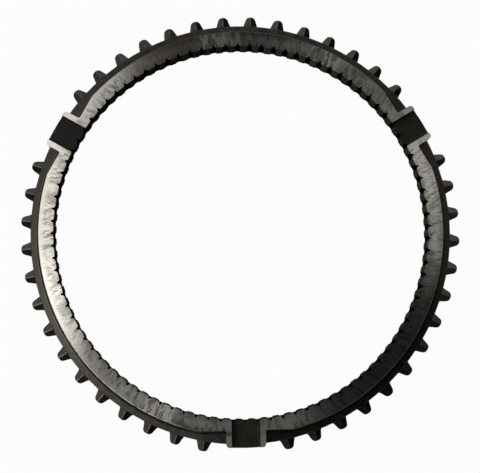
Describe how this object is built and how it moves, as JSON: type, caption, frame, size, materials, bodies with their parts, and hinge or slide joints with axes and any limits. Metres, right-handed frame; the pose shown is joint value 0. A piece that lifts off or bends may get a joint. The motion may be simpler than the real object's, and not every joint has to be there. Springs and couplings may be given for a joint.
{
  "type": "synchronizer ring",
  "caption": "Flat steel synchronizer ring with a grooved friction cone in its bore, pointed blocking teeth around its rim and key slots in raised lugs.",
  "frame": {"origin": "on the ring's axis, in the gear-side face on which it lies", "axes": "+Z along the ring's axis towards the hub side with the key slots, -Y towards one key slot, +X completes the right hand"},
  "size_m": [0.1226, 0.1216, 0.009],
  "materials": {
    "coated_steel": "dark phosphate coat on forged steel, with the hub-side face ground bright"
  },
  "bodies": {
    "root": {"synchronizer_ring": "coated_steel"}
  },
  "joints": []
}
